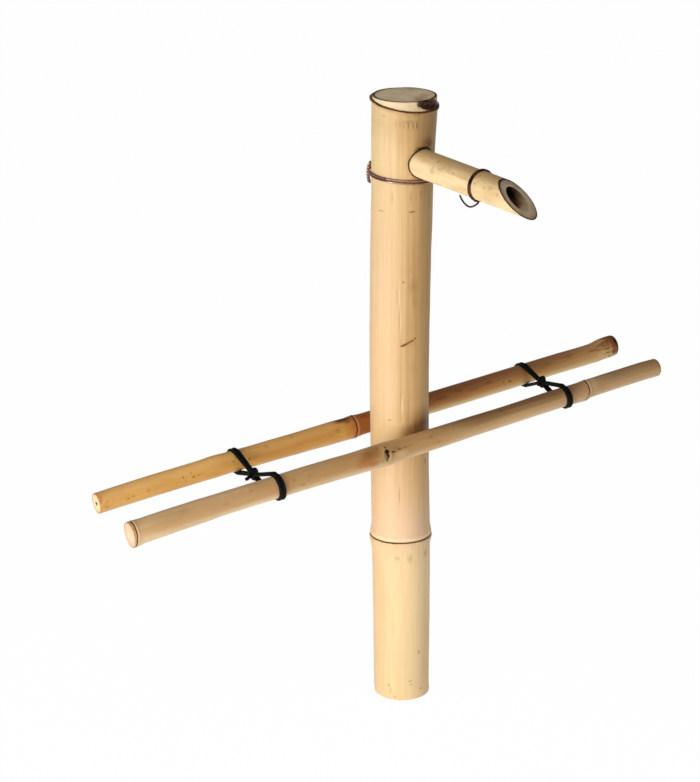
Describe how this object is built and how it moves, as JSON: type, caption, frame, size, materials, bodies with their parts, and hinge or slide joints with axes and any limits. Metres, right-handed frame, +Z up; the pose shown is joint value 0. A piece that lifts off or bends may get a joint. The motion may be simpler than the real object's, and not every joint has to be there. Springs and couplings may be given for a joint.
{
  "type": "pouring bamboo fountain",
  "caption": "Upright bamboo post with a slanted bamboo spout, fed by an inner hose, and a pair of lashed canes that rest on a bowl's rim.",
  "frame": {"origin": "centre of the post's foot, on the surface that it stands on", "axes": "+Z up along the post, +X along the pair of canes towards their raised ends, -Y the side on which the spout pours"},
  "size_m": [0.4359, 0.176, 0.457],
  "materials": {
    "post_bamboo": "smooth dried bamboo skin, satin",
    "spout_bamboo": "smooth dried bamboo skin with small brown specks, satin",
    "front_cane_bamboo": "thin tan cane, satin",
    "rear_cane_bamboo": "thin golden cane, satin",
    "copper_wire": "dulled copper wire",
    "tie_cord": "black waxed cord",
    "hose_vinyl": "clear vinyl",
    "elbow_plastic": "moulded grey",
    "seal_rubber": "matt"
  },
  "bodies": {
    "post": {"post": "post_bamboo", "spout": "spout_bamboo", "spout_seal": "seal_rubber", "hose_elbow": "elbow_plastic", "post_wire": "copper_wire", "post_wire_twist": "copper_wire", "spout_wire": "copper_wire", "spout_wire_tail": "copper_wire"},
    "hose": {"supply_hose": "hose_vinyl"},
    "arms": {"front_cane": "front_cane_bamboo", "rear_cane": "rear_cane_bamboo", "left_tie_front_loop": "tie_cord", "left_tie_rear_loop": "tie_cord", "left_tie_knot": "tie_cord", "right_tie_front_loop": "tie_cord", "right_tie_rear_loop": "tie_cord", "right_tie_knot": "tie_cord"}
  },
  "joints": [
    {"name": "swivel", "type": "hinge", "parent": "post", "child": "hose", "pos_m": [0, 0, 0.209], "axis": [0, 0, 1], "continuous": true},
    {"name": "arm_slide", "type": "slide", "parent": "hose", "child": "arms", "axis": [0, 0, 1], "range_m": [-0.06, 0.14]}
  ]
}
